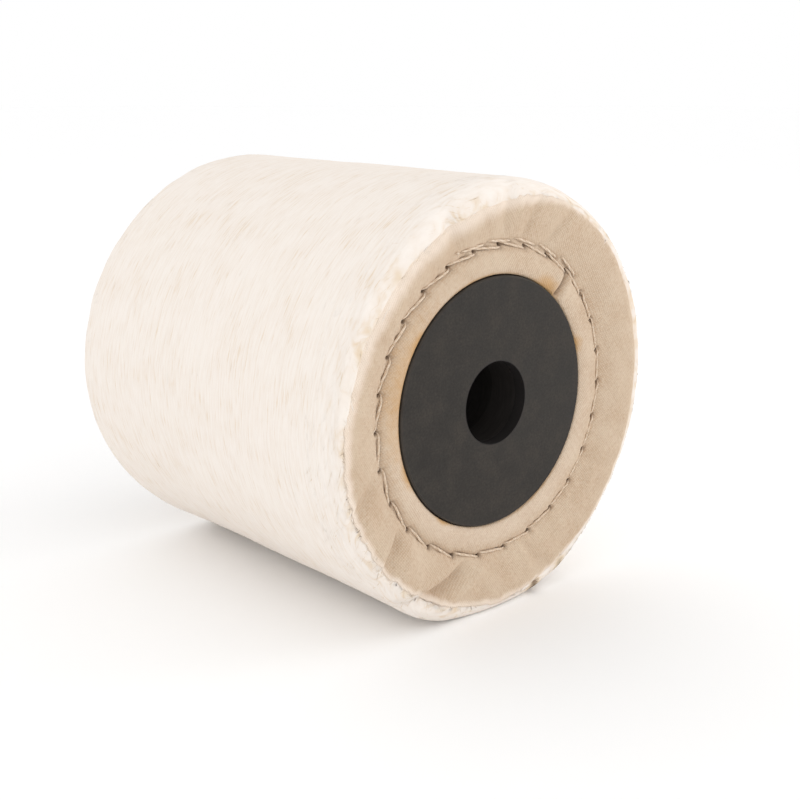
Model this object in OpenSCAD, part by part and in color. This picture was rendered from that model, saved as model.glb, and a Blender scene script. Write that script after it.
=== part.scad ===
// Wide cloth polishing drum on a core tube, held between two fibre end plates.
// The spindle axis runs along Y with the front plate at -Y, and the origin is the
// middle of the bore. Millimetres.

/* [Wheel] */
// Diameter over the brushed rim
wheel_d = 100; // [92:1:120]
// Width over the fanned rims of the two end faces
wheel_w = 96; // [80:1:120]
// Height of the flat that the soft rim takes where the wheel lies on it
rest_flat_h = 0.6; // [0.3:0.1:1]
// Radius of the rounded shoulder between the rim and each end face
shoulder_r = 3.5; // [2:0.5:5]

/* [Core] */
// Diameter of the bore through the plates and the core tube
bore_d = 19; // [12:0.5:22]
// Wall thickness of the core tube
tube_wall = 3; // [2:0.5:3.5]
// Diameter of each end plate
plate_d = 57; // [50:1:60]
// Thickness of each end plate
plate_t = 3; // [2:0.5:4]
// How far each plate's face sits inside the widest part of the cloth
plate_inset = 1.6; // [1:0.1:2.5]
// Width of the small bevel round the plate's outer face
plate_bevel = 0.3; // [0.1:0.1:0.5]
// Thickness of the glue film under each plate
glue_t = 0.2; // [0.1:0.05:0.3]

/* [Cloth] */
// Number of sewn cloth sections on the core tube
section_count = 10; // [8:1:12]
// Thickness of the single cover ply on each end face
ply_t = 0.5; // [0.4:0.1:0.6]
// How far the cover ply stops short of the rim
ply_margin = 1.2; // [1.1:0.1:2]
// Depth of the groove that the tight seam pulls into each face
groove_depth = 1.2; // [1:0.1:1.4]
// Half the width of that groove at the face
groove_half_w = 1.9; // [1.6:0.1:2.2]

/* [Seams] */
// Diameter of the stitched ring
seam_d = 70.6; // [68:0.2:74]
// Number of stitches in one ring
stitch_count = 27; // [20:1:34]
// Diameter of the sewing thread
thread_d = 0.9; // [0.6:0.1:1]
// How far each stitch slants, from one end to the other
stitch_slant = 1; // [0.6:0.1:1.2]

/* [Hidden] */
$fn = 96;

wheel_r = wheel_d / 2;
bore_r = bore_d / 2;
plate_r = plate_d / 2;
seam_r = seam_d / 2;
tube_r = bore_r + tube_wall;
rest_z = -(wheel_r - rest_flat_h);

// Heights along Y, measured from the middle of the wheel out to one end
half_w = wheel_w / 2;
plate_face = half_w - plate_inset;
plate_back = plate_face - plate_t;
ply_face = plate_back - glue_t;
core_half = ply_face - ply_t;
rim_half = half_w - ply_t;

// The face of the cover ply: it rises past the plate's edge to a low puff, dips to the
// seam, flares out to the crown and rolls back over the shoulder
plate_gap = 0.3;
puff_r = plate_r + 3;
puff_face = plate_face - 0.4;
seam_face = half_w - 2.4;
groove_floor_half_w = 0.7;
crown_r = wheel_r - shoulder_r;
ply_r = wheel_r - ply_margin;
rise_steps = 4;
flare_steps = 5;
shoulder_steps = 6;

// The sections stand shoulder to shoulder on the tube and fan out at the rim
core_pitch = 2 * core_half / section_count;
rim_pitch = 2 * rim_half / section_count;

// The thread lies in its groove, clear of the next section's thread, and its legs
// through the cloth are pulled thinner than the runs, which they pass a little
thread_r = thread_d / 2;
thread_depth = thread_r + 0.15;
leg_r = thread_r * 0.8;
leg_overrun = thread_r * 0.3;
stitch_angle = 360 / stitch_count;

cotton = "antiquewhite";
cover_cotton = "bisque";
thread_cotton = "tan";
fibre = "dimgray";
tube_card = "black";
glue_amber = "peru";

function numbered(name, i) = str(name, i < 9 ? "_0" : "_", i + 1);
section_names = [for (i = [0 : section_count - 1]) numbered("cloth_section", i)];
thread_names = [for (i = [0 : section_count - 1]) numbered("seam_thread", i)];

// Soft S-curve from 0 to 1
function ease(t) = (1 - cos(180 * t)) / 2;

function eased(r, r0, y0, r1, y1) = y0 + (y1 - y0) * ease((r - r0) / (r1 - r0));

// Full depth over the groove's floor, running out to nothing at its edges
function groove(r) = groove_depth
    * max(0, min(1, (groove_half_w - abs(r - seam_r)) / (groove_half_w - groove_floor_half_w)));

// The face without its groove, at one radius
function swell(r) =
    r <= plate_r + plate_gap ? ply_face
    : r <= puff_r ? eased(r, plate_r + plate_gap, ply_face, puff_r, puff_face)
    : r <= seam_r ? eased(r, puff_r, puff_face, seam_r, seam_face)
    : r <= crown_r ? eased(r, seam_r, seam_face, crown_r, half_w)
    : half_w - shoulder_r + sqrt(max(0, shoulder_r * shoulder_r - (r - crown_r) * (r - crown_r)));

function face(r) = swell(r) - groove(r);

groove_radii = [for (s = [-groove_half_w, -groove_floor_half_w, groove_floor_half_w, groove_half_w])
    seam_r + s];

// The radii where the face changes, from the tube out to a given radius
function face_radii(end) = concat(
    [tube_r],
    [for (k = [0 : rise_steps]) plate_r + plate_gap + k / rise_steps * (puff_r - plate_r - plate_gap)],
    groove_radii,
    [for (k = [1 : flare_steps])
        groove_radii[3] + k / flare_steps * (crown_r - groove_radii[3])],
    [for (k = [1 : shoulder_steps]) crown_r + (end - crown_r) * sin(90 * k / shoulder_steps)]
);

// The cut between two sections, seen from the side that its groove sinks into
function joint_face(k, sink) = let (
        core = core_pitch * (k - section_count / 2),
        rim = rim_pitch * (k - section_count / 2)
    ) [
        [tube_r, core],
        [groove_radii[0], core],
        [groove_radii[1], core + sink * groove_depth],
        [groove_radii[2], core + sink * groove_depth],
        [groove_radii[3], core],
        [wheel_r, rim]
    ];

// The end section's outer face is the cover ply's, one ply lower
function outer_face(side) = [for (r = face_radii(wheel_r)) [r, side * (face(r) - ply_t)]];

function reversed(points) = [for (i = [len(points) - 1 : -1 : 0]) points[i]];

// Spins a profile of [radius, height along Y] points round the wheel's axis
module spun(profile) {
    rotate([-90, 0, 0]) rotate_extrude() polygon(profile);
}

module along_axis(y) {
    translate([0, y, 0]) rotate([-90, 0, 0]) children();
}

// Builds on the front side, or turned over to the back
module on_side(back) {
    if (back) rotate([180, 0, 0]) children();
    else children();
}

module core_tube() {
    color(tube_card) along_axis(-plate_back) difference() {
        cylinder(r = tube_r, h = 2 * plate_back);
        translate([0, 0, -1]) cylinder(r = bore_r, h = 2 * plate_back + 2);
    }
}

module end_plate(back) {
    color(fibre) on_side(back) along_axis(-plate_face) difference() {
        union() {
            cylinder(r1 = plate_r - plate_bevel, r2 = plate_r, h = plate_bevel);
            translate([0, 0, plate_bevel]) cylinder(r = plate_r, h = plate_t - plate_bevel);
        }
        translate([0, 0, -1]) cylinder(r = bore_r, h = plate_t + 2);
    }
}

module glue_film(back) {
    color(glue_amber) on_side(back) along_axis(-plate_back) difference() {
        cylinder(r = plate_r, h = glue_t);
        translate([0, 0, -1]) cylinder(r = tube_r, h = glue_t + 2);
    }
}

module cover_ply(back) {
    top = [for (r = face_radii(ply_r)) [r, -face(r)]];
    under = [for (p = top) [p[0], p[1] + ply_t]];
    color(cover_cotton) on_side(back) spun(concat(top, reversed(under)));
}

module cloth_section(i) {
    low = i == 0 ? outer_face(-1) : joint_face(i, 1);
    high = i == section_count - 1 ? outer_face(1) : joint_face(i + 1, -1);
    color(cotton) difference() {
        spun(concat(low, reversed(high)));
        translate([-wheel_r, -wheel_w, rest_z - wheel_r]) cube([wheel_d, 2 * wheel_w, wheel_r]);
    }
}

// One stitch lying on a face, from the outer side of one hole to the inner side of the next
module stitch(y) {
    reach = stitch_slant / 2;
    from = [seam_r + reach, 0];
    to = (seam_r - reach) * [cos(stitch_angle), sin(stitch_angle)];
    run = to - from;
    translate([from[0], y, from[1]])
        rotate([0, 90 - atan2(run[1], run[0]), 0])
            cylinder(r = thread_r, h = norm(run));
}

module seam_thread(i) {
    low_core = core_pitch * (i - section_count / 2);
    low = i == 0 ? -(face(seam_r) + thread_r) : low_core + thread_depth;
    high = i == section_count - 1
        ? face(seam_r) + thread_r
        : low_core + core_pitch - thread_depth;
    color(thread_cotton) for (k = [0 : stitch_count - 1]) rotate([0, k * stitch_angle, 0]) {
        stitch(low);
        stitch(high);
        translate([seam_r, low - leg_overrun, 0])
            rotate([-90, 0, 0])
                cylinder(r = leg_r, h = high - low + 2 * leg_overrun);
    }
}

core_tube();
end_plate(false);  // front_plate
end_plate(true);  // back_plate
glue_film(false);  // front_glue_film
glue_film(true);  // back_glue_film
cover_ply(false);  // front_cover_ply
cover_ply(true);  // back_cover_ply
for (i = [0 : section_count - 1]) {
    cloth_section(i);
    seam_thread(i);
}
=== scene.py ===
import math

import bmesh
import bpy
import numpy as np
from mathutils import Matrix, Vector


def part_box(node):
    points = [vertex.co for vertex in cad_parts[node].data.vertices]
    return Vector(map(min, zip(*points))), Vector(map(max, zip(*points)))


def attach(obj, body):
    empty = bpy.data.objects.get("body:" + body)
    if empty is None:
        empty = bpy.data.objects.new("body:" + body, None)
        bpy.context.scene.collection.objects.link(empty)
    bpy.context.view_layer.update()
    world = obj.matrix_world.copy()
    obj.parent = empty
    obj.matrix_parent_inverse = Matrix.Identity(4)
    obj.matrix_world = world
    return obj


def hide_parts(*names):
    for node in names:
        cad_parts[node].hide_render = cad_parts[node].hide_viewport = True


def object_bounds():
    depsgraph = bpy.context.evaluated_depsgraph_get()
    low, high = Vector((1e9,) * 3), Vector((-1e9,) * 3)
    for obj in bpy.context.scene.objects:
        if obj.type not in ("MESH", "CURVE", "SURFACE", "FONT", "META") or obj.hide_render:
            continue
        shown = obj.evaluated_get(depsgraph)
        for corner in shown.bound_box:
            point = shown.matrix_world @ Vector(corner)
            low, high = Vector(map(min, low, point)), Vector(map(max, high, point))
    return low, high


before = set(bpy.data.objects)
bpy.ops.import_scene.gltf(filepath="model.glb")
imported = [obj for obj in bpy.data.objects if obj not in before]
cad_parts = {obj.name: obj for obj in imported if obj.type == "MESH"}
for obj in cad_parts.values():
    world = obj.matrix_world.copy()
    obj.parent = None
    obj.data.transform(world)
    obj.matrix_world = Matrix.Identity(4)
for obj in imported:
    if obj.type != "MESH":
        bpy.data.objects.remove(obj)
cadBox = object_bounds()
mm = 0.001

# The drum lies along Y with its front plate at -Y. Everything below is measured from the frame.
wheel = {
    "radius": cadBox[1].x,
    "halfWidth": cadBox[1].y,
    "restZ": cadBox[0].z,
    "shoulder": 3.5 * mm,  # radius of the soft corner between the rim and an end face
    "tubeRadius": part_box("core_tube")[1].x,
    "boreRadius": min(math.hypot(v.co.x, v.co.z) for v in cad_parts["core_tube"].data.vertices),
    "plateRadius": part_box("front_plate")[1].x,
    "plateFace": -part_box("front_plate")[0].y,
    "plyFace": -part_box("front_glue_film")[1].y,
    "plyAllowance": 0.5 * mm,  # the room that each cover ply takes along Y
    "sections": 10,
    "seamRadius": 35.3 * mm,  # of the sections' own seams
}
crownRadius = wheel["radius"] - wheel["shoulder"]
rimFlat = wheel["halfWidth"] - wheel["shoulder"]
shoulderArc = wheel["shoulder"] * math.pi / 2


def smooth(a, b, x):
    t = np.clip((x - a) / (b - a), 0, 1)
    return t * t * (3 - 2 * t)


def bell(x, width):
    return np.exp(-((x / width) ** 2))


def turnBetween(a, b):
    # signed angle from b to a, the short way round
    return (a - b + math.pi) % (2 * math.pi) - math.pi


def degreesFrom(theta, angle):
    return np.degrees(turnBetween(theta, math.radians(angle)))


def hashed(ix, iy, iz, seed):
    h = (ix * 374761393 + iy * 668265263 + iz * 2147483647 + seed * 144665) & 0xFFFFFFFF
    h = ((h ^ (h >> 13)) * 1274126177) & 0xFFFFFFFF
    return ((h ^ (h >> 16)) & 0xFFFF) / 32767.5 - 1


def noise(points, size, seed=0):
    # soft noise from -1 to 1 over an array of points; size is one lump, or one lump per axis
    p = points / np.array(size) + 1000
    i = np.floor(p).astype(np.int64)
    f = p - i
    f = f * f * (3 - 2 * f)
    total = 0
    for corner in range(8):
        step = np.array([corner & 1, (corner >> 1) & 1, corner >> 2])
        weight = np.prod(np.where(step, f, 1 - f), axis=-1)
        j = i + step
        total = total + weight * hashed(j[..., 0], j[..., 1], j[..., 2], seed)
    return total


def polar(r, theta, y=0.0):
    return np.stack([r * np.cos(theta), np.zeros_like(r) + y, r * np.sin(theta)], axis=-1)


# Each end face: where its seam runs, how its outer ply is folded, where glue crept out.
# Angles are in degrees, 0 at +X and 90 up; lengths are in millimetres.
# folds: angle at the seam, angle at the rim, depth, width before the valley, width after it
# stains: angle, spread in degrees, reach from the plate, strength
# nicks: angle, depth; the other tables hold (angle, value) stops
faces = {
    "front": {
        "side": -1,
        "seed": 3,
        "seamRadius": 35.6,
        "seamCentre": (1.0, -0.35),
        "stitches": 27,
        "firstHole": -1.4,
        "lapFrom": 48,
        "lapTo": 113,
        "folds": [
            (-165, -158, 1.2, 1.8, 3.6), (-141, -138, 2.0, 1.7, 3.8), (-101, -121, 2.4, 2.0, 4.8),
            (67, 62, 0.7, 1.4, 2.2), (79, 76, 0.6, 1.2, 1.8), (88, 88, 0.6, 1.3, 2.0),
            (109, 112, 0.7, 2.0, 2.8), (24, 20, 0.45, 1.5, 2.6), (-33, -30, 0.4, 1.5, 2.6),
            (-75, -70, 0.4, 1.6, 2.6), (150, 156, 0.4, 2.0, 2.8),
        ],
        "crease": {"angle": 48.5, "depth": 1.5, "width": 0.7},
        "stains": [
            (165, 34, 9.0, 0.55), (146, 9, 4.5, 0.8), (56, 8, 5.0, 0.75), (19, 5, 3.6, 0.6),
            (-157, 8, 3.6, 0.7), (-123, 5, 2.0, 0.8), (-60, 22, 1.4, 0.35), (105, 20, 1.8, 0.4),
        ],
        "plyEdge": [
            (-180, 45.6), (-150, 46.2), (-120, 46.4), (-95, 47.2), (-60, 48.5), (-30, 49.5),
            (25, 49.6), (50, 49.0), (72, 47.4), (90, 45.3), (110, 44.2), (140, 43.9), (165, 44.6),
            (180, 45.6),
        ],
        "napOver": [
            (-180, 1.5), (-150, 0.4), (60, 0.3), (75, 1.2), (100, 3.2), (140, 3.6), (165, 2.6),
            (180, 1.5),
        ],
        "napLean": [
            (-180, -14), (-150, -50), (-110, -80), (-60, -70), (0, -40), (60, -42), (90, -30),
            (120, -12), (180, -14),
        ],
        "napRough": [
            (-180, 0.4), (-155, 0.9), (-110, 1.0), (-60, 1.0), (-30, 0.5), (0, 0.25), (60, 0.1),
            (150, 0.1), (180, 0.4),
        ],
        "nicks": [(-10.8, 1.1), (-24.9, 0.8), (43.9, 1.4), (-62, 0.6), (28, 0.5)],
    },
    "back": {
        "side": 1,
        "seed": 11,
        "seamRadius": 35.4,
        "seamCentre": (-0.8, 0.5),
        "stitches": 27,
        "firstHole": 5,
        "lapFrom": -148,
        "lapTo": -92,
        "folds": [
            (-50, -62, 1.4, 4.2, 1.8), (-84, -78, 1.2, 3.6, 1.6), (-20, -26, 0.9, 3.0, 1.8),
            (37, 41, 0.6, 1.4, 2.2), (95, 92, 0.6, 2.0, 1.3), (118, 123, 0.7, 1.6, 2.4),
            (160, 165, 0.6, 2.6, 1.6), (-125, -131, 0.5, 1.6, 2.4),
        ],
        "crease": {"angle": -96, "depth": 1.2, "width": 0.8},
        "stains": [
            (40, 22, 4.2, 0.9), (130, 10, 3.4, 0.8), (-96, 8, 5.0, 0.8), (-20, 16, 1.8, 0.5),
        ],
        "plyEdge": [
            (-180, 48.6), (-130, 47.0), (-90, 46.4), (-50, 45.8), (-10, 46.6), (30, 48.2),
            (80, 48.8), (120, 48.2), (150, 47.0), (180, 48.6),
        ],
        "napOver": [
            (-180, 0.5), (-110, 1.5), (-60, 2.8), (-20, 2.2), (20, 0.6), (120, 0.4), (160, 1.0),
            (180, 0.5),
        ],
        "napLean": [(-180, 30), (-110, 60), (-60, 40), (0, 20), (60, 38), (120, 45), (180, 30)],
        "napRough": [
            (-180, 0.3), (-120, 0.9), (-60, 1.0), (-20, 0.6), (30, 0.3), (90, 0.1), (180, 0.3),
        ],
        "nicks": [(70, 1.0), (112, 0.8), (-160, 1.2)],
    },
}

cloth = {
    "plyThickness": 0.42 * mm,
    "plateGap": 0.35 * mm,  # from the plate's edge to the puff of cloth that hugs it
    "edgeSink": 0.55 * mm,  # how far that cloth stands below the plate's face
    "innerPuff": 0.75 * mm,
    "seamSink": 2.7 * mm,  # how far the cloth at the seam lies inside the crown
    "cutRadius": 48.5 * mm,  # of the disc that each cover ply is cut to
    "stitchPitch": 13.72,  # degrees between needle holes over the upper half
    "slant": 0.6 * mm,  # how far each stitch leans across the seam's circle at either end
    "lapStitch": math.radians(13),  # length of the stitches sewn over the first ones
}


def seamOffset(face, r, theta):
    # distance outward from the seam's own circle, which isn't quite centred on the bore
    cx, cz = face["seamCentre"]
    x = r * np.cos(theta) - cx * mm
    z = r * np.sin(theta) - cz * mm
    return np.hypot(x, z) - face["seamRadius"] * mm


def roundTable(table, theta):
    # reads a list of (angle, value) stops at each angle
    stops = np.array(table, float)
    return np.interp(np.degrees(turnBetween(theta, 0.0)), stops[:, 0], stops[:, 1])


def plyEdge(face, theta):
    return roundTable(face["plyEdge"], theta) * mm


def holeAngles(face):
    # the sewing machine's pitch opens out a little over the lower half
    half = face["stitches"] // 2
    wider = (360 - cloth["stitchPitch"] * half) / (face["stitches"] - half)
    angles = [face["firstHole"] - cloth["stitchPitch"] * k for k in range(half, 0, -1)]
    angles += [face["firstHole"] + wider * k for k in range(face["stitches"] - half)]
    return np.radians(angles)


def seamPoint(face, angle, outward):
    cx, cz = face["seamCentre"]
    r = face["seamRadius"] * mm + outward
    return np.array([cx * mm + r * math.cos(angle), cz * mm + r * math.sin(angle)])


def stitchRuns(face):
    # each run starts on the inner side of one needle hole and ends on the outer side of the next
    rng = np.random.default_rng(face["seed"])
    holes = holeAngles(face)
    runs = []
    for k, a in enumerate(holes):
        b = holes[(k + 1) % len(holes)] + (2 * math.pi if k == len(holes) - 1 else 0)
        slant = cloth["slant"] + rng.uniform(-0.1, 0.1) * mm
        overlap = rng.uniform(0.004, 0.012)
        runs.append((seamPoint(face, a - overlap, -slant), seamPoint(face, b + overlap, slant)))
    # the last stitches are sewn over the first ones, a little further out
    for a in sorted(a for a in holes if face["lapFrom"] < math.degrees(turnBetween(a, 0)) < face["lapTo"]):
        start, end = a - 0.42 * cloth["lapStitch"], a + 0.5 * cloth["lapStitch"]
        out = rng.uniform(0.9, 1.3) * mm
        runs.append((seamPoint(face, start, out - 0.35 * mm), seamPoint(face, end, out + 0.3 * mm)))
    return runs


for face in faces.values():
    face["runs"] = stitchRuns(face)
    face["holes"] = np.array([seamPoint(face, a, 0) for a in holeAngles(face)])


def runDistance(face, points):
    # how far each (x, z) point is from the nearest stitch
    best = np.full(len(points), 1.0)
    for a, b in face["runs"]:
        along = b - a
        t = np.clip(((points - a) @ along) / (along @ along), 0, 1)
        best = np.minimum(best, np.linalg.norm(points - a - t[:, None] * along, axis=1))
    return best


def holeDistance(face, points):
    best = np.full(len(points), 1.0)
    for hole in face["holes"]:
        best = np.minimum(best, np.linalg.norm(points - hole, axis=1))
    return best


def foldShift(face, r, theta):
    # valleys run from the seam to the rim between low ridges, and gentle waves fill the rest
    shift = np.zeros_like(r)
    seam = face["seamRadius"] * mm
    outward = (r - seam) / (crownRadius - seam)
    t = np.clip(outward, 0, 1.2)
    grow = smooth(-0.02, 0.45, outward) * (1 - 0.55 * smooth(0.7, 1.15, t))
    for atSeam, atRim, depth, before, after in face["folds"]:
        across = turnBetween(theta, np.radians(atSeam + (atRim - atSeam) * t)) * r / mm
        width = np.where(across < 0, before, after) * (0.5 + 0.5 * t)
        ridge = bell(across + 1.3 * before + 1.2, 2.2) + bell(across - 1.3 * after - 1.2, 2.6)
        shift += depth * mm * grow * (0.3 * ridge - bell(across, width))
    outside = smooth(seam + 0.5 * mm, crownRadius - 3 * mm, r)
    p = polar(r, theta)
    shift += outside * 0.28 * mm * noise(p, 9 * mm, face["seed"])
    shift += outside * 0.10 * mm * noise(p, 3.2 * mm, face["seed"] + 1)
    return shift


def faceHeight(face, r, theta):
    # how far out along Y the end face's cloth stands at one radius and angle
    seam = face["seamRadius"] * mm
    start = wheel["plateRadius"] + cloth["plateGap"]
    off = seamOffset(face, r, theta)
    seamFace = wheel["halfWidth"] - cloth["seamSink"]
    t = np.clip((r - start) / (r - off - start), 0, 1)
    edgeFace = wheel["plateFace"] - cloth["edgeSink"]
    inner = edgeFace + (seamFace - edgeFace) * t ** 2 + cloth["innerPuff"] * (1 - np.abs(2 * t - 1) ** 2.6)
    wall = smooth(wheel["plateRadius"] + 0.02 * mm, start, r)
    inner = wheel["plyFace"] + (inner - wheel["plyFace"]) * wall
    u = np.clip(off / (crownRadius - (r - off)), 0, 1)
    outer = seamFace + (wheel["halfWidth"] - seamFace) * np.sin(u * math.pi / 2) ** 0.85
    height = np.where(off < 0, inner, outer)
    over = np.clip(r - crownRadius, 0, wheel["shoulder"])
    height = np.where(r > crownRadius,
                      rimFlat + np.sqrt(np.maximum(wheel["shoulder"] ** 2 - over ** 2, 0)), height)
    return height + foldShift(face, r, theta)


# Where the soft rim stands out: angle and spread in degrees, height in millimetres, and 1 for the
# back end only, -1 for the front end only or 0 for both
bulges = [
    (-64, 14, 0.5, 0), (-113, 13, 0.4, 0), (-64, 14, 1.1, -1), (-113, 13, 0.7, -1), (8, 46, 1.9, -1),
    (187, 42, 2.0, 1), (110, 30, 0.5, 1),
]


def rimOutline(theta, y):
    # the soft rim isn't quite round: low lumps, and a bulge either side of where it rests
    p = polar(np.full_like(theta, wheel["radius"]), theta, y)
    r = np.full_like(theta, wheel["radius"])
    r = r + 0.22 * mm * noise(p, (22 * mm, 30 * mm, 22 * mm), 5)
    r = r + 0.10 * mm * noise(p, (7 * mm, 12 * mm, 7 * mm), 6)
    for angle, spread, height, end in bulges:
        atEnd = smooth(10 * mm, 46 * mm, y * end) if end else 1.0
        r = r + height * mm * atEnd * bell(degreesFrom(theta, angle), spread)
    return r


def clothPoint(theta, s):
    # a point on the outside of the cloth: s runs across the rim from the middle, then over the
    # shoulder and in across the end face, negative towards the front
    side = np.where(s < 0, -1.0, 1.0)
    a = np.abs(s)
    turn = np.clip((a - rimFlat) / wheel["shoulder"], 0, math.pi / 2)
    inward = np.clip(a - rimFlat - shoulderArc, 0, None)
    r = crownRadius + wheel["shoulder"] * np.cos(turn) - inward
    height = np.minimum(a, rimFlat) + wheel["shoulder"] * np.sin(turn)
    for face in faces.values():
        here = (side == face["side"]) & (a > rimFlat - 6 * mm)
        if here.any():
            rr, tt = r[here], theta[here]
            flatPart = faceHeight(face, np.minimum(rr, crownRadius), tt)
            onArc = smooth(rimFlat - 6 * mm, rimFlat + shoulderArc, a[here])
            arcPart = height[here] + foldShift(face, rr, tt) * onArc
            height[here] = np.where(inward[here] > 0, flatPart, arcPart)
    y = side * height
    grow = (rimOutline(theta, y) - wheel["radius"]) * (r / wheel["radius"]) ** 6
    p = polar(r + grow, theta, y)
    p[..., 2] = np.maximum(p[..., 2], wheel["restZ"] + 0.02 * mm)
    return p


def clothNormal(theta, s):
    step = 0.15 * mm
    around = clothPoint(theta + step / wheel["radius"], s) - clothPoint(theta - step / wheel["radius"], s)
    across = clothPoint(theta, s + step) - clothPoint(theta, s - step)
    n = np.cross(across, around)  # points out of the cloth on the rim and on both end faces
    return n / np.maximum(np.linalg.norm(n, axis=-1, keepdims=True), 1e-12)


def faceS(r):
    # the s of a radius on the end face
    return rimFlat + shoulderArc + crownRadius - r


# Shared mesh helpers

def addPiece(name, mesh, material, replaces=()):
    piece = bpy.data.objects.new(name, mesh)
    bpy.context.scene.collection.objects.link(piece)
    mesh.materials.append(material)
    if not mesh.has_custom_normals:
        mesh.shade_smooth()
    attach(piece, "root")
    if replaces:
        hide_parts(*replaces)
    return piece


def toMesh(bm, name):
    mesh = bpy.data.meshes.new(name)
    bm.to_mesh(mesh)
    bm.free()
    return mesh


def spinProfile(name, points, steps, closed):
    # spins (radius, y, mark) points round the axle; gives the mesh, its points and their marks
    bm = bmesh.new()
    layer = bm.verts.layers.float.new("mark")
    verts = []
    for r, y, mark in points:
        v = bm.verts.new((r, y, 0))
        v[layer] = mark
        verts.append(v)
    edges = [bm.edges.new(pair) for pair in zip(verts, verts[1:] + (verts[:1] if closed else []))]
    bmesh.ops.spin(bm, geom=verts + edges, cent=(0, 0, 0), axis=(0, 1, 0), dvec=(0, 0, 0),
                   angle=2 * math.pi, steps=steps, use_merge=True)
    mesh = toMesh(bm, name)
    marks = np.empty(len(mesh.vertices))
    mesh.attributes["mark"].data.foreach_get("value", marks)
    mesh.attributes.remove(mesh.attributes["mark"])
    return mesh, readPoints(mesh), marks


def readPoints(mesh):
    co = np.empty(len(mesh.vertices) * 3)
    mesh.vertices.foreach_get("co", co)
    return co.reshape(-1, 3)


def writePoints(mesh, co):
    mesh.vertices.foreach_set("co", np.ascontiguousarray(co, np.float32).ravel())
    mesh.update()


def writeAttribute(mesh, name, values):
    attribute = mesh.attributes.new(name, "FLOAT", "POINT")
    attribute.data.foreach_set("value", np.asarray(values, np.float32).ravel())


def repeatMesh(name, template, count):
    # copies keep the template's vertex order, so they can be placed as blocks
    bm = bmesh.new()
    for _ in range(count):
        bm.from_mesh(template)
    return toMesh(bm, name)


# Materials

def srgb(code):
    parts = [int(code[i:i + 2], 16) / 255 for i in (1, 3, 5)]
    return tuple(c / 12.92 if c <= 0.04045 else ((c + 0.055) / 1.055) ** 2.4 for c in parts) + (1.0,)


def newMaterial(name):
    material = bpy.data.materials.new(name)
    material.use_nodes = True
    material.node_tree.nodes.clear()
    return material, addNode(material, "TexCoord", output="Object")


def addNode(material, kind, inputs=None, output=0, stops=(), **settings):
    # gives the output to link from; stops are the (place, colour) stops of a colour ramp
    node = material.node_tree.nodes.new("ShaderNode" + kind)
    for key, value in settings.items():
        setattr(node, key, value)
    for _ in stops[2:]:
        node.color_ramp.elements.new(0.5)
    for element, (place, colour) in zip(node.color_ramp.elements if stops else (), stops):
        element.position = place
        element.color = srgb(colour) if isinstance(colour, str) else colour
    for key, value in (inputs or {}).items():
        if isinstance(value, bpy.types.NodeSocket):
            material.node_tree.links.new(value, node.inputs[key])
        else:
            node.inputs[key].default_value = value
    return node.outputs[output] if len(node.outputs) else None


def finish(material, colour, roughness, relief, **sockets):
    # relief is (height, strength, distance); sockets are the shader's other settings, with
    # underscores for the spaces in their names
    bump = addNode(material, "Bump", dict(zip(("Height", "Strength", "Distance"), relief)))
    inputs = {"Base Color": colour, "Roughness": roughness, "Normal": bump}
    inputs.update({key.replace("_", " "): value for key, value in sockets.items()})
    shader = addNode(material, "BsdfPrincipled", inputs)
    addNode(material, "OutputMaterial", {"Surface": shader})
    return material


# Cotton lint raised by a wire brush: long soft strands, nearly white on top and straw between them, brown
# where it was scorched and where a shadow is painted near the bottom, and with no shine
nap = {
    "light": "#f2eae2",
    "mid": "#eee4da",
    "deep": "#e2cfb7",
    "scorchAndShadow": "#6b5440",
    "strand": (5.0 * mm, 0.42 * mm),
    "fineStrand": (2.2 * mm, 0.14 * mm),
    "mottle": 9 * mm,
    "roughness": 0.92,
}


def streakNoise(material, place, size, detail):
    # stretched round the rim: long along X and Z, short along the axle
    length, width = size
    mapping = addNode(material, "Mapping", {
        "Vector": place, "Scale": (1 / length, 1 / width, 1 / length)})
    return addNode(material, "TexNoise", {
        "Vector": mapping, "Scale": 1.0, "Detail": detail, "Roughness": 0.55})


def addUp(material, parts, start=0.0):
    # a weighted sum of sockets
    for socket, weight in parts:
        start = addNode(material, "Math", {0: socket, 1: weight, 2: start},
                        operation="MULTIPLY_ADD")
    return start


def tint(material, base, layers):
    # each layer covers the base with its colour by its factor
    for factor, colour in layers:
        base = addNode(material, "Mix", {0: factor, 6: base, 7: srgb(colour)},
                       data_type="RGBA", output=2)
    return base


def makeNap():
    material, place = newMaterial("brushedCottonNap")
    mottle = addNode(material, "TexNoise", {
        "Vector": place, "Scale": 1 / nap["mottle"], "Detail": 3.0})
    tone = addNode(material, "Attribute", attribute_name="tone", output="Fac")
    strands = streakNoise(material, place, nap["strand"], 2.5)
    shade = addUp(material, [(mottle, 0.3), (strands, 0.7), (tone, 1.0)])
    colour = addNode(material, "ValToRGB", {"Fac": shade}, stops=[
        (0.0, nap["scorchAndShadow"]), (0.26, nap["deep"]), (0.42, nap["mid"]), (0.58, nap["light"])])
    fine = streakNoise(material, place, nap["fineStrand"], 2.0)
    return finish(material, colour, nap["roughness"], (fine, 0.3, 0.05 * mm), Specular_IOR_Level=0.0)


brushedNap = makeNap()

# Unbleached calico in plain weave: the eye gets a fine grid of over-and-under yarns, straw flecks
# and slubs. The real yarns stand 0.33 mm apart, drawn at 0.48 mm so that they show.
calico = {
    "yarnPitch": 0.48 * mm,
    "grainTurn": math.radians(33),
    "slub": (0.5 * mm, 9 * mm),  # width and length of the thick places in a yarn
    "fleck": 0.55 * mm,
    "blotch": 7 * mm,
    "stainEdge": 1.6 * mm,
    "light": "#d8c5ae",
    "mid": "#cfb9a1",
    "deep": "#bfa388",
    "glue": "#c4965a",
    "worn": "#efdfcf",
    # painted shade for the needle holes, the stitches, the crease, the folds and the nicks
    "paintedShade": "#54392a",
    "roughness": 0.88,
}


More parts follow.
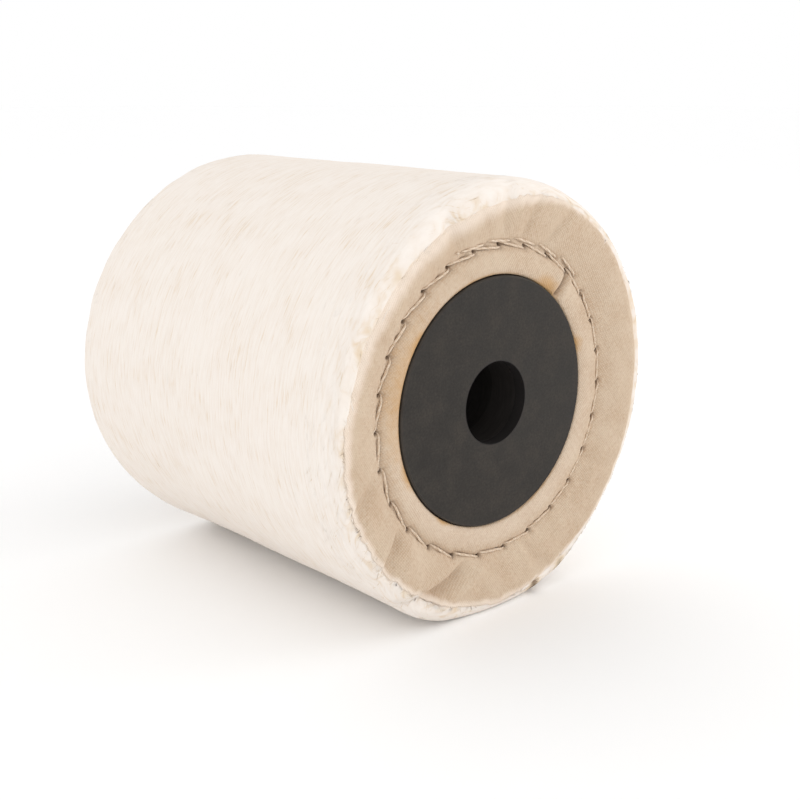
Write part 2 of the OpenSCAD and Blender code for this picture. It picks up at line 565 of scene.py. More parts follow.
def makeCalico():
    material, place = newMaterial("unbleachedCalico")
    turned = addNode(material, "Mapping", {
        "Vector": place, "Rotation": (0, calico["grainTurn"], 0)})
    waveScale = math.pi / 10 / calico["yarnPitch"]  # a band texture's period is 2 pi / (20 * scale)
    width, length = calico["slub"]
    yarns, slubs = [], []
    for bands, size in (("X", (width, 8 * mm, length)), ("Z", (length, 8 * mm, width))):
        wave = addNode(material, "TexWave", {
            "Vector": turned, "Scale": waveScale, "Distortion": 0.6, "Detail Scale": 0.3},
            output="Fac", bands_direction=bands)
        yarns.append(wave)
        stretched = addNode(material, "Mapping", {
            "Vector": turned, "Scale": tuple(1 / s for s in size)})
        slub = addNode(material, "TexNoise", {"Vector": stretched, "Scale": 1.0, "Detail": 2.0})
        slubs.append(slub)
    grid = addNode(material, "Math", {0: yarns[0], 1: yarns[1]}, operation="MULTIPLY")
    flecks = addNode(material, "TexNoise", {
        "Vector": place, "Scale": 1 / calico["fleck"], "Detail": 2.0, "Roughness": 0.6})
    blotch = addNode(material, "TexNoise", {
        "Vector": place, "Scale": 1 / calico["blotch"], "Detail": 3.0})
    shade = addUp(material, [
        (flecks, 0.38), (blotch, 0.26), (slubs[0], 0.12), (slubs[1], 0.12), (grid, 0.22)])
    base = addNode(material, "ValToRGB", {"Fac": shade}, stops=[
        (0.33, calico["deep"]), (0.50, calico["mid"]), (0.67, calico["light"])])
    wash, glue, paintedShade = [addNode(material, "Attribute", attribute_name=name, output="Fac")
                        for name in ("nap", "glue", "paintedShade")]
    ragged = addNode(material, "TexNoise", {
        "Vector": place, "Scale": 1 / calico["stainEdge"], "Detail": 4.0})
    stain = addUp(material, [(ragged, 0.5)], glue)
    stain = addNode(material, "ValToRGB", {"Fac": stain}, stops=[
        (0.36, (0, 0, 0, 1)), (0.62, (0.3, 0.3, 0.3, 1)), (1.0, (0.75, 0.75, 0.75, 1))])
    # the last layer is painted shade in the hollows of the cover ply
    base = tint(material, base, [(wash, calico["worn"]), (stain, calico["glue"]), (paintedShade, calico["paintedShade"])])
    relief = addUp(material, [(slubs[0], 0.5), (slubs[1], 0.5)], grid)
    return finish(material, base, calico["roughness"], (relief, 0.7, 0.12 * mm),
                  Sheen_Weight=0.03, Sheen_Roughness=0.5, Specular_IOR_Level=0.12)


unbleachedCalico = makeCalico()

# Heavy twisted cotton thread: smoother than the cloth, with painted shade in the grooves between its plies
# deep is the painted shade between the plies
sewing = {"light": "#e8d7c3", "deep": "#b79876", "fuzz": 0.35 * mm, "roughness": 0.8}


def makeThread():
    material, place = newMaterial("twistedCottonThread")
    fuzz = addNode(material, "TexNoise", {
        "Vector": place, "Scale": 1 / sewing["fuzz"], "Detail": 3.0})
    plyGapShade = addNode(material, "Attribute", attribute_name="plyGapShade", output="Fac")
    shade = addUp(material, [(plyGapShade, 0.45)], fuzz)
    colour = addNode(material, "ValToRGB", {"Fac": shade}, stops=[
        (0.4, sewing["light"]), (1.0, sewing["deep"])])
    return finish(material, colour, sewing["roughness"], (fuzz, 0.5, 0.08 * mm),
                  Sheen_Weight=0.2, Specular_IOR_Level=0.3)


twistedThread = makeThread()

# Vulcanised fibre, pressed in sheets and punched: matt, nearly black, with a felted mottle, a rubbed edge
# and painted shade inside the bore
fibreSheet = {
    "dark": "#27231f",
    "mid": "#302c28",
    "pale": "#3a3530",
    # painted shade inside the bore
    "edge": "#4a4540",
    "bore": "#1f1c1b",
    "cloud": 6 * mm,
    "grain": 0.5 * mm,
    "roughness": (0.62, 0.8),
}


def makeFibre():
    material, place = newMaterial("vulcanisedFibre")
    cloud = addNode(material, "TexNoise", {
        "Vector": place, "Scale": 1 / fibreSheet["cloud"], "Detail": 5.0, "Roughness": 0.65})
    grain = addNode(material, "TexNoise", {
        "Vector": place, "Scale": 1 / fibreSheet["grain"], "Detail": 2.0})
    shade = addUp(material, [(grain, 0.45)], cloud)
    base = addNode(material, "ValToRGB", {"Fac": shade}, stops=[
        (0.52, fibreSheet["dark"]), (0.72, fibreSheet["mid"]), (0.92, fibreSheet["pale"])])
    flat = addNode(material, "VectorMath", {0: place, 1: (1, 0, 1)}, operation="MULTIPLY")
    radius = addNode(material, "VectorMath", {0: flat}, operation="LENGTH",
                     output="Value")
    rubbed = addNode(material, "MapRange", {
        "Value": radius, "From Min": wheel["plateRadius"] - 0.55 * mm,
        "From Max": wheel["plateRadius"] - 0.1 * mm}, interpolation_type="SMOOTHSTEP")
    rubbed = addNode(material, "Math", {0: rubbed, 1: cloud}, operation="MULTIPLY")
    # painted shade: darker where the plate meets the bore
    boreShade = addNode(material, "MapRange", {
        "Value": radius, "From Min": wheel["boreRadius"] + 0.25 * mm,
        "From Max": wheel["boreRadius"] + 0.02 * mm})
    base = tint(material, base, [(rubbed, fibreSheet["edge"]), (boreShade, fibreSheet["bore"])])
    rough = addNode(material, "MapRange", {
        "Value": cloud, "From Min": 0.3, "From Max": 0.7,
        "To Min": fibreSheet["roughness"][0], "To Max": fibreSheet["roughness"][1]})
    return finish(material, base, rough, (shade, 0.25, 0.1 * mm), Specular_IOR_Level=0.25)


vulcanisedFibre = makeFibre()

# Card wound with resin for the core: smooth and dark, with the faint lap lines of its winding
windings = {
    "dark": "#211e1c",
    "pale": "#34302e",
    "lap": 9 * mm,
    "streak": (6 * mm, 0.5 * mm),
    "roughness": 0.5,
}


def makeCard():
    material, place = newMaterial("resinWoundCard")
    laps = addNode(material, "TexWave", {
        "Vector": place, "Scale": math.pi / 10 / windings["lap"], "Distortion": 1.5, "Detail": 2.0,
        "Detail Scale": 1.0}, bands_direction="Y", wave_profile="SAW", output="Fac")
    shade = addUp(material, [(laps, 0.35)], streakNoise(material, place, windings["streak"], 3.0))
    colour = addNode(material, "ValToRGB", {"Fac": shade}, stops=[
        (0.4, windings["dark"]), (0.95, windings["pale"])])
    return finish(material, colour, windings["roughness"], (shade, 0.3, 0.1 * mm), Specular_IOR_Level=0.35)


woundCard = makeCard()

# Bone glue that has dried hard: amber, glossy, with small bubbles
driedGlue = {
    "pale": "#c98a3e",
    "deep": "#8a5420",
    "cloud": 2.5 * mm,
    "bubble": 0.7 * mm,
    "roughness": 0.28,
}


def makeGlue():
    material, place = newMaterial("driedBoneGlue")
    cloud = addNode(material, "TexNoise", {
        "Vector": place, "Scale": 1 / driedGlue["cloud"], "Detail": 3.0})
    bubbles = addNode(material, "TexVoronoi", {"Vector": place, "Scale": 1 / driedGlue["bubble"]})
    colour = addNode(material, "ValToRGB", {"Fac": cloud}, stops=[
        (0.35, driedGlue["deep"]), (0.65, driedGlue["pale"])])
    return finish(material, colour, driedGlue["roughness"], (bubbles, 0.3, 0.1 * mm))


boneGlue = makeGlue()
print("materials made")

# Cloth sections: a ring of packed plies from the tube to the rim, one for each sewn section

section = {
    "steps": 420,  # cuts round the wheel
    "rimCut": 0.42 * mm,  # cuts across the rim
    "streak": 0.06 * mm,  # height of the brushed streaks
    "below": 0.12 * mm,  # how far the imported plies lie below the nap's outside
    "belowPly": 0.75 * mm,  # how much further they lie under the cover ply
    "pinchHalf": 2.5 * mm,  # half the width of the groove at the section's seam
    "pinch": 0.9 * mm,  # depth of that groove
    "sharp": math.radians(50),  # keeps the corner beside the next section from being shaded round
}
plyRise = {"flat": 0.02 * mm, "pressed": 0.32 * mm, "width": 2 * mm}  # the cut edge of a cover ply


def sectionEdges(index):
    # the section's two rim edges and two core edges along Y
    halves = wheel["halfWidth"] - wheel["plyAllowance"], wheel["plyFace"] - wheel["plyAllowance"]
    return [[2 * half * (k / wheel["sections"] - 0.5) for k in (index, index + 1)] for half in halves]


def napDepth(p, theta, s):
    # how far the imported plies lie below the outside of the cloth, with their brushed streaks
    streak = noise(p, (3.5 * mm, 0.42 * mm, 3.5 * mm), 21)
    streak = streak + 0.5 * noise(p, (1.6 * mm, 0.3 * mm, 1.6 * mm), 22)
    below = section["below"] - section["streak"] * streak
    for face in faces.values():
        under = smooth(0.3 * mm, 2.2 * mm, np.abs(s) - faceS(plyEdge(face, theta)))
        below = below + section["belowPly"] * under * (np.sign(s) == face["side"])
    return below


def plyLift(face, theta):
    # the cover ply's cut edge is pressed down where the nap covers it
    return plyRise["flat"] - plyRise["pressed"] * smooth(1.0, 3.0, roundTable(face["napOver"], theta))


def outsideHeight(p, theta, s):
    # height of whatever lies outermost, the section's own plies or the cover ply's edge
    height = -napDepth(p, theta, s)
    for face in faces.values():
        past = np.abs(s) - faceS(plyEdge(face, theta))
        onPly = (np.sign(s) == face["side"]) & (past > 0)
        lifted = plyLift(face, theta) * (1 - smooth(0, plyRise["width"], past))
        height = np.where(onPly, np.maximum(height, lifted), height)
    return height


# small brown places on the nap: scorch marks, and at -74 and -63 degrees a painted shadow near the bottom
# of the front shoulder: angle in degrees, place along Y and size in millimetres, depth of tone
scorchesAndShadows = [(-74, -46.4, 2.0, 0.5), (-63, -46.4, 1.6, 0.35), (-48, -46.8, 1.5, 0.12), (20, 47.0, 1.4, 0.2)]


def napTone(p, theta, s):
    # the nap is painted darker straw beside the cover plies' edges, partly its own colour there and partly
    # painted shade in the dip by the edge, and brown at the scorch marks and the painted shadow
    tone = np.zeros(len(theta))
    for face in faces.values():
        past = np.abs(s) - faceS(plyEdge(face, theta))
        here = (np.sign(s) == face["side"]) * smooth(-4.0 * mm, 0.2 * mm, past)
        # painted shade in the dip beside each cover ply's edge, partly the nap's own straw colour
        tone = tone - 0.1 * here
    # brown scorch marks, and the painted shadow at -74 and -63 degrees
    for angle, y, size, depth in scorchesAndShadows:
        aside = turnBetween(theta, math.radians(angle)) * wheel["radius"]
        tone = tone - depth * bell(np.hypot(aside, p[:, 1] - y * mm), size * mm)
    return tone


def makeSection(index):
    rim, core = sectionEdges(index)
    name = "cloth_section_%02d" % (index + 1)
    first, last = index == 0, index == wheel["sections"] - 1
    seam, half, pinch = wheel["seamRadius"], section["pinchHalf"], section["pinch"]
    # s of the outside skin, from the front edge to the back edge
    skinStart = -faceS(seam + half) if first else rim[0]
    skinEnd = faceS(seam + half) if last else rim[1]
    cuts = int(round((skinEnd - skinStart) / section["rimCut"]))
    skin = np.linspace(skinStart, skinEnd, cuts + 1)
    points = [(wheel["tubeRadius"], core[0], 0), (seam - half, core[0], 0), (seam, core[0] + pinch, 0)]
    points += [(wheel["radius"], s, 1 + s) for s in skin]  # a mark of 0 means inside the wheel
    points += [(seam, core[1] - pinch, 0), (seam - half, core[1], 0), (wheel["tubeRadius"], core[1], 0)]
    mesh, co, mark = spinProfile(name, points, section["steps"], True)
    outside = mark != 0
    theta = np.arctan2(co[outside, 2], co[outside, 0])
    s = mark[outside] - 1
    p = clothPoint(theta, s)
    n = clothNormal(theta, s)
    co[outside] = p - n * napDepth(p, theta, s)[:, None]
    co[:, 2] = np.maximum(co[:, 2], wheel["restZ"])
    writePoints(mesh, co)
    tone = np.zeros(len(co))
    tone[outside] = napTone(p, theta, s)
    writeAttribute(mesh, "tone", tone)
    bm = bmesh.new()
    bm.from_mesh(mesh)
    bmesh.ops.recalc_face_normals(bm, faces=bm.faces)
    for edge in bm.edges:
        edge.smooth = edge.calc_face_angle(0) < section["sharp"]
    bm.to_mesh(mesh)
    bm.free()
    return addPiece(name + "_plies", mesh, brushedNap, [name])


for index in range(wheel["sections"]):
    makeSection(index)
print("cloth sections made")

# Nap: thousands of fine tapered locks of lint that lie along the rim, combed the way it was brushed


def lockTemplate():
    # one closed spike, 1 long, cut twice so that it can bend
    bm = bmesh.new()
    bmesh.ops.create_cone(bm, cap_ends=True, cap_tris=False, segments=3, radius1=1, radius2=0, depth=1)
    for cut in (-0.17, 0.2):
        geom = bm.verts[:] + bm.edges[:] + bm.faces[:]
        bmesh.ops.bisect_plane(bm, geom=geom, plane_co=(0, 0, cut), plane_no=(0, 0, 1), dist=1e-6)
    return toMesh(bm, "lock")


lockMesh = lockTemplate()
lockPoints = readPoints(lockMesh)
lockAlong = lockPoints[:, 2] + 0.5
lockRound = np.hypot(lockPoints[:, 0], lockPoints[:, 1])
lockSide, lockUp = (np.where(lockRound > 1e-6, lockPoints[:, k] / np.maximum(lockRound, 1e-6), 0)
                    for k in (0, 1))


def makeLocks(name, theta, s, style, seed):
    # theta and s are the locks' roots; style gives their size, lean and lift
    rng = np.random.default_rng(seed)
    count = len(theta)
    root = clothPoint(theta, s)
    length = style["length"] * rng.uniform(0.55, 1.25, count)
    width = style["width"] * rng.uniform(0.6, 1.3, count) / 2
    lean = style["lean"] if "leans" not in style else np.radians(roundTable(style["leans"], theta))
    lean = lean + style["jitter"] * rng.normal(0, 1, count)
    lean = lean + style["swirl"] * noise(root, style["swirlSize"], seed)
    curl = style["curl"] * rng.normal(0, 1, count)
    rough = roundTable(style["rough"], theta) if "rough" in style else np.zeros(count)
    lift = style["lift"] * (0.3 + rough) * rng.uniform(0.2, 1.0, count) ** 1.5
    tone = rng.normal(0, style["toneSpread"], count) * (1 + 2 * rough)
    tone = tone + 0.03 * noise(root, 4 * mm, seed + 1)
    tone = tone - style["strawTone"] * (rng.random(count) < style["strawShare"]) + napTone(root, theta, s)
    t = lockAlong[None, :]
    angle = lean[:, None] + curl[:, None] * t
    along = length[:, None] * t
    # thin at the root, widest in the middle
    taper = np.clip(0.12 + 3.2 * t * (1 - t), 0, 0.9) * (t < 0.99)
    towards = style.get("towards", 1)
    sideways = -towards * lockSide[None, :] * width[:, None] * taper  # keeps each lock's faces outward
    du = along * np.cos(angle) - sideways * np.sin(angle)
    ds = (along * np.sin(angle) + sideways * np.cos(angle)) * towards
    height = style["sink"] + lift[:, None] * np.sin(t * math.pi * 0.8)
    height = height + lockUp[None, :] * width[:, None] * style["thickness"] * taper
    radius = np.maximum(np.hypot(root[:, 0], root[:, 2]), 20 * mm)[:, None]
    thetaAll, sAll = (theta[:, None] + du / radius).ravel(), (s[:, None] + ds).ravel()
    p, n = clothPoint(thetaAll, sAll), clothNormal(thetaAll, sAll)
    p = p + n * (height.ravel() + outsideHeight(p, thetaAll, sAll))[:, None]
    tilt = np.repeat(rng.normal(0, style["normalTilt"], (count, 3)), len(lockMesh.vertices), axis=0)
    p[:, 2] = np.maximum(p[:, 2], wheel["restZ"])
    mesh = repeatMesh(name, lockMesh, count)
    writePoints(mesh, p)
    writeAttribute(mesh, "tone", np.repeat(tone, len(lockMesh.vertices)))
    # lint is shaded by the surface it lies on, so that the locks melt into each other
    mesh.shade_smooth()
    n = n + tilt
    mesh.normals_split_custom_set_from_vertices(n / np.linalg.norm(n, axis=1, keepdims=True))
    return mesh


rimNap = {
    "perSquareCm": 13,
    "length": 5.6 * mm,
    "width": 0.28 * mm,
    "thickness": 0.22,
    "normalTilt": 0.04,
    "lean": math.radians(2),
    "jitter": math.radians(3),
    "swirl": math.radians(6),
    "swirlSize": 12 * mm,
    "curl": math.radians(4),
    "lift": 0.0,
    "sink": -0.01 * mm,
    "toneSpread": 0.02,
    "strawTone": 0.09,  # how much darker the straw-coloured locks are
    "strawShare": 0.45,
}

shoulderNap = {
    **rimNap,
    "perSquareCm": 60,
    "length": 3.2 * mm,
    "width": 0.18 * mm,
    "jitter": math.radians(12),
    "swirl": math.radians(16),
    "swirlSize": 5 * mm,
    "curl": math.radians(12),
    "normalTilt": 0.06,
    "lift": 0.05 * mm,
    "toneSpread": 0.03,
    "strawShare": 0.2,
}

# short ends of lint along the cut edge of each cover ply
edgeFringe = {
    **shoulderNap,
    "perMm": 3,
    "length": 1.8 * mm,
    "width": 0.13 * mm,
    "thickness": 0.18,
    "lean": math.radians(-90),
    "jitter": math.radians(28),
    "lift": 0.04 * mm,
    "sink": 0.0,
    "strawShare": 0.5,
}


def scatter(sFrom, sTo, style, seed):
    rng = np.random.default_rng(seed)
    area = (sTo - sFrom) * 2 * math.pi * wheel["radius"]
    count = int(area * 1e4 * style["perSquareCm"])
    return rng.uniform(-math.pi, math.pi, count), rng.uniform(sFrom, sTo, count)


for index in range(wheel["sections"]):
    rim, core = sectionEdges(index)
    low, high = max(rim[0], -rimFlat + 1.5 * mm), min(rim[1], rimFlat - 1.5 * mm)
    theta, s = scatter(low, high, rimNap, 100 + index)
    name = "rim_nap_%02d" % (index + 1)
    addPiece(name, makeLocks(name, theta, s, rimNap, 200 + index), brushedNap)

for name, face in faces.items():
    rng = np.random.default_rng(500 + face["seed"])
    theta, s = scatter(rimFlat - 3 * mm, faceS(39 * mm), shoulderNap, 300 + face["seed"])
    past = s - faceS(plyEdge(face, theta))  # how far in over the cover ply's edge each lock is rooted
    keep = past < roundTable(face["napOver"], theta) * mm * rng.random(len(theta)) ** 1.5
    theta, s = theta[keep], s[keep] * face["side"]
    style = {**shoulderNap, "towards": face["side"], "leans": face["napLean"], "rough": face["napRough"]}
    mesh = makeLocks(name + "_shoulder_nap", theta, s, style, 400 + face["seed"])
    addPiece(name + "_shoulder_nap", mesh, brushedNap)
print("nap made")

# Cover plies: one round of calico on each end face, glued under the plate and sewn down by the seam

ply = {
    "steps": 720,
    "innerCuts": 11,
    "seamCuts": 20,
    "outerCuts": 22,
    "fray": 0.35 * mm,
    "groove": (0.5 * mm, 0.55 * mm),  # depth and width of the dent under each stitch
    "hole": (1.3 * mm, 0.46 * mm),  # depth and width of each needle hole
    "pucker": (0.22 * mm, 2.6 * mm),  # height of the gathers along the seam, and how far they reach
    "creaseEnd": (34.5 * mm, 36.5 * mm),
    "creaseLip": 0.45 * mm,
    "paleInsideSeam": 0.22,  # how much paler the calico is made inside the seam, most of all towards the bottom
}


def makeFringe(name, face):
    rng = np.random.default_rng(600 + face["seed"])
    theta = rng.uniform(-math.pi, math.pi, int(2 * math.pi * 47 * edgeFringe["perMm"]))
    theta = theta[rng.random(len(theta)) < 0.1 + 0.9 * roundTable(face["napRough"], theta)]
    s = faceS(plyEdge(face, theta) - rng.uniform(0.0, 0.9, len(theta)) * mm)
    style = {**edgeFringe, "towards": face["side"], "rough": face["napRough"]}
    mesh = makeLocks(name + "_ply_fringe", theta, s * face["side"], style, 700 + face["seed"])
    return addPiece(name + "_ply_fringe", mesh, brushedNap)


def makeCoverPly(name, face):
    start = wheel["plateRadius"] + cloth["plateGap"]
    # the rings stand closer together by the seam, for its needle holes
    marks = [-1.0, -0.5, -0.05, -0.04, -0.03, -0.02, -0.01]
    marks += list(np.linspace(0, 0.26, ply["innerCuts"], endpoint=False))
    marks += list(np.linspace(0.26, 0.52, ply["seamCuts"], endpoint=False))
    marks += list(np.linspace(0.52, 1, ply["outerCuts"] + 1))
    profile = [(1 + k, 0, mark) for k, mark in enumerate(marks)]
    mesh, co, mark = spinProfile(name, profile, ply["steps"], False)
    theta = np.arctan2(co[:, 2], co[:, 0])
    edge = plyEdge(face, theta)
    circle = polar(np.full_like(theta, 45 * mm), theta)
    edge = edge + ply["fray"] * noise(circle, 1.1 * mm, face["seed"])
    edge = edge + 0.5 * ply["fray"] * noise(circle, 4 * mm, face["seed"] + 4)
    for angle, depth in face["nicks"]:
        edge = edge - depth * mm * bell(turnBetween(theta, math.radians(angle)) * edge, 0.3 * mm)
    wallFoot = wheel["plateRadius"] + 0.03 * mm
    r = np.where(mark >= 0, start + mark * (edge - start), start + mark / 0.05 * (start - wallFoot))
    r = np.where(mark < -0.06, wheel["tubeRadius"] + 0.05 * mm
                 + (mark + 1) * (wallFoot - wheel["tubeRadius"]), r)
    height = faceHeight(face, r, theta)
    flat = np.stack([r * np.cos(theta), r * np.sin(theta)], axis=-1)
    offSeam = seamOffset(face, r, theta)
    near = np.abs(offSeam) < 5 * mm
    run = np.full(len(r), 1.0)
    hole = np.full(len(r), 1.0)
    inward = flat[near] / np.linalg.norm(flat[near], axis=1, keepdims=True)
    run[near] = runDistance(face, flat[near] + 0.22 * mm * inward)  # the groove opens towards the plate
    hole[near] = holeDistance(face, flat[near])
    for (depth, width), distance in ((ply["groove"], run), (ply["hole"], hole)):
        height = height - depth * bell(distance, width)
    p = polar(r, theta)
    # the gathers run straight across the seam, so their noise is stretched that way
    unrolled = np.stack([theta * 35.5 * mm, offSeam * 0.25, theta * 0], axis=-1)
    pucker = noise(unrolled, 1.3 * mm, face["seed"] + 7)
    height = height + ply["pucker"][0] * pucker * bell(offSeam, ply["pucker"][1]) * (r > start)
    crease = face["crease"]
    across = turnBetween(theta, math.radians(crease["angle"])) * r
    along = smooth(start, start + 1 * mm, r) * (1 - smooth(*ply["creaseEnd"], r))
    height = height - crease["depth"] * mm * bell(across, crease["width"] * mm) * along
    height = height + ply["creaseLip"] * bell(np.abs(across) - 1.9 * mm, 1.1 * mm) * along
    height = height + 0.05 * mm * noise(p, 1.5 * mm, face["seed"] + 2) * (r > start)
    height = height + plyLift(face, theta) * smooth(edge - plyRise["width"], edge, r)
    r = r + 0.35 * mm * noise(p, 14 * mm, face["seed"] + 9) * smooth(40 * mm, 47 * mm, r)
    co = polar(r, theta, face["side"] * height)
    co[:, 2] = np.maximum(co[:, 2], wheel["restZ"] + 0.1 * mm)
    writePoints(mesh, co)

    glue = np.zeros(len(r))
    for angle, spread, reach, strength in face["stains"]:
        near = bell(degreesFrom(theta, angle), spread)
        near = near * (1 - smooth(0.1, 1.0, (r - wheel["plateRadius"]) / (reach * mm)))
        glue = np.maximum(glue, strength * near)
    glue = glue + 0.35 * (1 - smooth(0, 1.1 * mm, r - wheel["plateRadius"]))
    writeAttribute(mesh, "glue", glue)
    # painted shade: the calico is darkened in the needle holes, under the thread, in the crease, in the
    # folds and in the nicks
    paintedShade = 1.1 * bell(hole, ply["hole"][1]) + 0.24 * bell(run, 0.34 * mm)
    paintedShade = paintedShade + 0.7 * bell(across, 0.45 * mm) * along
    paintedShade = paintedShade + 0.07 * np.clip(-foldShift(face, r, theta) / (1.6 * mm) - 0.15, 0, 1)
    atEdge = smooth(edge - 0.9 * mm, edge - 0.2 * mm, r)
    for angle, depth in face["nicks"]:
        paintedShade = paintedShade + 0.6 * bell(turnBetween(theta, math.radians(angle)) * r, 0.35 * mm) * atEdge
    writeAttribute(mesh, "paintedShade", np.clip(paintedShade, 0, 0.9))
    # the rim is rubbed pale by the brush
    rubbed = 1.2 * mm + 1.3 * roundTable(face["napOver"], theta) * mm
    wash = smooth(edge - rubbed, edge - 0.25 * rubbed, r)
    wash = wash * (0.85 + 0.15 * noise(p, 2 * mm, face["seed"] + 3))
    seam = face["seamRadius"] * mm
    inside = 1 - smooth(seam - 4 * mm, seam - 1 * mm, r)
    # paler inside the seam, more towards the bottom
    wash = wash + ply["paleInsideSeam"] * inside * (0.5 - 0.5 * np.sin(theta))
    writeAttribute(mesh, "nap", np.clip(wash, 0, 1))
    bm = bmesh.new()
    bm.from_mesh(mesh)
    bmesh.ops.recalc_face_normals(bm, faces=bm.faces)
    outward = sum(f.normal.y * f.calc_area() for f in bm.faces) * face["side"]
    if outward < 0:
        bmesh.ops.reverse_faces(bm, faces=bm.faces)
    bm.to_mesh(mesh)
    bm.free()
    node = name + "_cover_ply"
    piece = addPiece(name + "_cover_calico", mesh, unbleachedCalico, [node])
    thickness = piece.modifiers.new("thickness", "SOLIDIFY")
    thickness.thickness = cloth["plyThickness"]
    thickness.offset = -1
    fringe = makeFringe(name, face)
    return piece


for name, face in faces.items():
    makeCoverPly(name, face)
print("cover plies made")

# Seam threads on the two end faces: twisted thread laid in its groove, one bent run per stitch

thread = {
    "radius": 0.31 * mm,
    "rings": 15,
    "sides": 14,
    "plies": 2,
    "twistLength": 2.6 * mm,
    "endSize": 0.55,
    "dive": 0.8 * mm,  # how deep each run goes into its needle holes
    "tailPoints": 10,
}


def addRun(bm, layer, centre, twist):
    # sweeps a two-lobed ring along the given centre points by extruding it ring by ring
    last = len(centre) - 1
    loop = bmesh.ops.create_circle(bm, cap_ends=True, segments=thread["sides"], radius=1)["verts"]
    face = loop[0].link_faces[0]
    spot = 0.0
    for k, middle in enumerate(centre):
        before, after = centre[max(k - 1, 0)], centre[min(k + 1, last)]
        along = Vector(after - before).normalized()
        up = Vector((0, 1, 0)) if abs(along.y) < 0.95 else Vector((1, 0, 0))
        sideways = along.cross(up).normalized()
        up = sideways.cross(along)
        if k:
            spot += float(np.linalg.norm(middle - centre[k - 1]))
            made = bmesh.ops.extrude_face_region(bm, geom=[face])
            if k > 1:
                bmesh.ops.delete(bm, geom=[face], context="FACES_ONLY")
            face = next(g for g in made["geom"] if isinstance(g, bmesh.types.BMFace))
            loop = list(face.verts)
        size = math.sin(math.pi * k / last) ** 0.25 if 0 < k < last else thread["endSize"]
        turned = twist + spot / thread["twistLength"] * 2 * math.pi
        for j, v in enumerate(loop):
            a = 2 * math.pi * j / len(loop)
            lobe = abs(math.cos((a * thread["plies"] + turned) / 2))
            r = thread["radius"] * size * (0.93 + 0.08 * lobe ** 0.8)
            v.co = Vector(middle) + sideways * (r * math.cos(a)) + up * (r * math.sin(a))
            # painted shade: darkest in the groove between the two plies
            v[layer] = 1 - lobe ** 0.7


def coverAt(face, x, z):
    return faceHeight(face, np.array([math.hypot(x, z)]), np.array([math.atan2(z, x)]))[0]


def runCentre(face, start, end):
    # dives into the needle hole at each end and bows up between
    points = []
    for k in range(thread["rings"]):
        t = k / (thread["rings"] - 1)
        x, z = start + (end - start) * t
        rise = thread["radius"] * (0.7 + 0.35 * math.sin(math.pi * t))
        dive = thread["dive"] * (bell(t, 0.07) + bell(1 - t, 0.07))
        y = coverAt(face, x, z) - cloth["plyThickness"] + rise - dive
        points.append(np.array([x, face["side"] * y, z]))
    return points


def makeSeam(name, face):
    rng = np.random.default_rng(face["seed"] + 50)
    bm = bmesh.new()
    layer = bm.verts.layers.float.new("plyGapShade")
    for start, end in face["runs"]:
        addRun(bm, layer, runCentre(face, start, end), rng.uniform(0, 6))
    # the thread's tail curls up out of its last hole
    angle = math.radians(face["lapTo"])
    tail = []
    for t in np.linspace(0, 1, thread["tailPoints"]):
        x, z = seamPoint(face, angle - 0.045 * math.sin(t * 2.6), 0.3 * mm + 1.9 * mm * t)
        y = coverAt(face, x, z) - 1.1 * mm * (1 - t) ** 2 + 0.35 * mm * t
        tail.append(np.array([x, face["side"] * y, z]))
    addRun(bm, layer, tail, 0)
    bmesh.ops.recalc_face_normals(bm, faces=bm.faces)
    mesh = toMesh(bm, name)
    node = "seam_thread_01" if name == "front" else "seam_thread_10"
    return addPiece(name + "_seam_stitches", mesh, twistedThread, [node])


for name, face in faces.items():
    makeSeam(name, face)
print("seam stitches made")

# The CAD nodes that stay get their finishes

keptFinishes = {
    "front_plate": vulcanisedFibre,
    "back_plate": vulcanisedFibre,
    "core_tube": woundCard,
    "front_glue_film": boneGlue,
    "back_glue_film": boneGlue,
}
for k in range(2, wheel["sections"]):
    keptFinishes["seam_thread_%02d" % k] = twistedThread
for node, material in keptFinishes.items():
    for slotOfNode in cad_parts[node].material_slots:
        slotOfNode.material = material

# Stage, light and camera

studio = {
    "floorRadius": 4.0,
    "floor": "#ffffff",
    "floorTooth": 0.6 * mm,
    "worldStrength": 1.0,
    "keyPower": 1.5,
    "keySize": 0.3,
    "keyPlace": (0.74, -0.4, 0.1),
    "fillPower": 0.35,
    "fillSize": 0.6,
    "fillPlace": (-0.62, -0.2, 0.42),
}


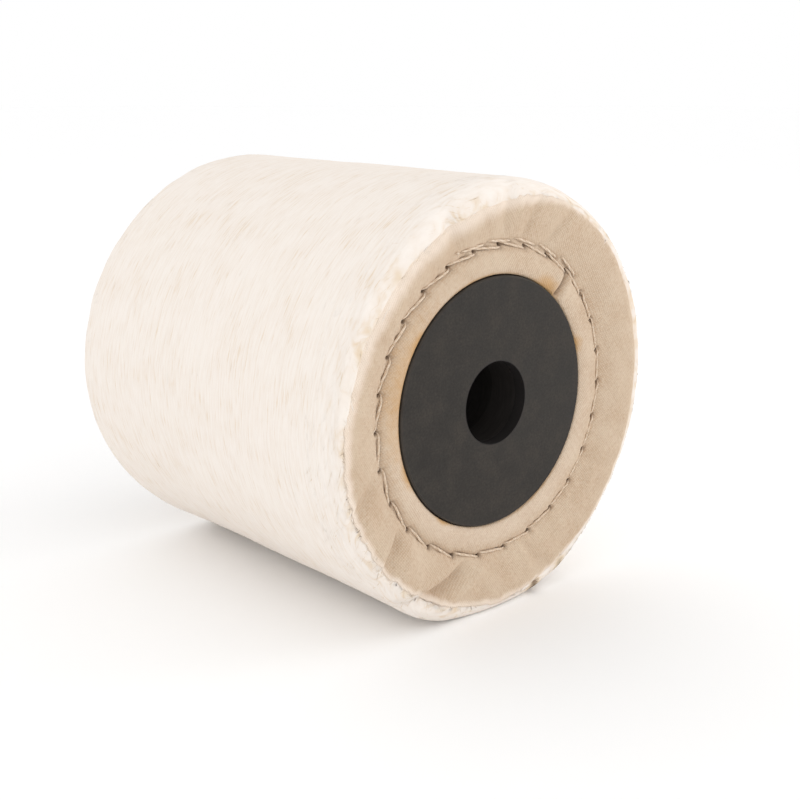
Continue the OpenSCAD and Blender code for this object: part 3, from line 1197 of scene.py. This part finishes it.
def makeFloor():
    bm = bmesh.new()
    bmesh.ops.create_circle(bm, cap_ends=True, segments=96, radius=studio["floorRadius"])
    bmesh.ops.translate(bm, verts=bm.verts, vec=(0, 0, wheel["restZ"]))
    mesh = toMesh(bm, "studio_floor")
    floor = bpy.data.objects.new("studio_floor", mesh)
    bpy.context.scene.collection.objects.link(floor)
    material, place = newMaterial("paleStudioPaper")
    tooth = addNode(material, "TexNoise", {
        "Vector": place, "Scale": 1 / studio["floorTooth"], "Detail": 2.0})
    finish(material, srgb(studio["floor"]), 0.9, (tooth, 0.1, 0.05 * mm))
    mesh.materials.append(material)


def addLamp(name, place, size, power):
    light = bpy.data.lights.new(name, "AREA")
    light.shape = "DISK"
    light.size = size
    light.energy = power
    lamp = bpy.data.objects.new(name, light)
    bpy.context.scene.collection.objects.link(lamp)
    lamp.location = place
    lamp.rotation_mode = "QUATERNION"
    lamp.rotation_quaternion = (-Vector(place)).to_track_quat("-Z", "Y")


makeFloor()
addLamp("keySoftbox", studio["keyPlace"], studio["keySize"], studio["keyPower"])
addLamp("fillSoftbox", studio["fillPlace"], studio["fillSize"], studio["fillPower"])
world = bpy.data.worlds.new("whiteRoom")
bpy.context.scene.world = world
world.use_nodes = True
world.node_tree.nodes["Background"].inputs["Color"].default_value = (1, 1, 1, 1)
world.node_tree.nodes["Background"].inputs["Strength"].default_value = studio["worldStrength"]
bpy.context.scene.view_settings.view_transform = "Standard"

camera = {
    "azimuth": math.radians(-42.15),
    "elevation": math.radians(14.87),
    "distance": 312.1 * mm,
    "aside": 9.7 * mm,  # the wheel sits a little left of the frame's middle and above it
    "below": 8.2 * mm,
    "lens": 56.2,
}
a, e = camera["azimuth"], camera["elevation"]
right = Vector((math.cos(a), math.sin(a), 0))
back = Vector((math.sin(a) * math.cos(e), -math.cos(a) * math.cos(e), math.sin(e)))
up = back.cross(right)
cameraData = bpy.data.cameras.new("camera")
cameraData.lens = camera["lens"]
cameraData.sensor_width = 36
cameraData.clip_start = 0.01
cameraObject = bpy.data.objects.new("camera", cameraData)
bpy.context.scene.collection.objects.link(cameraObject)
cameraObject.location = back * camera["distance"] + right * camera["aside"] - up * camera["below"]
cameraObject.rotation_mode = "QUATERNION"
cameraObject.rotation_quaternion = (-back).to_track_quat("-Z", "Y")
bpy.context.scene.camera = cameraObject
print("studio made")
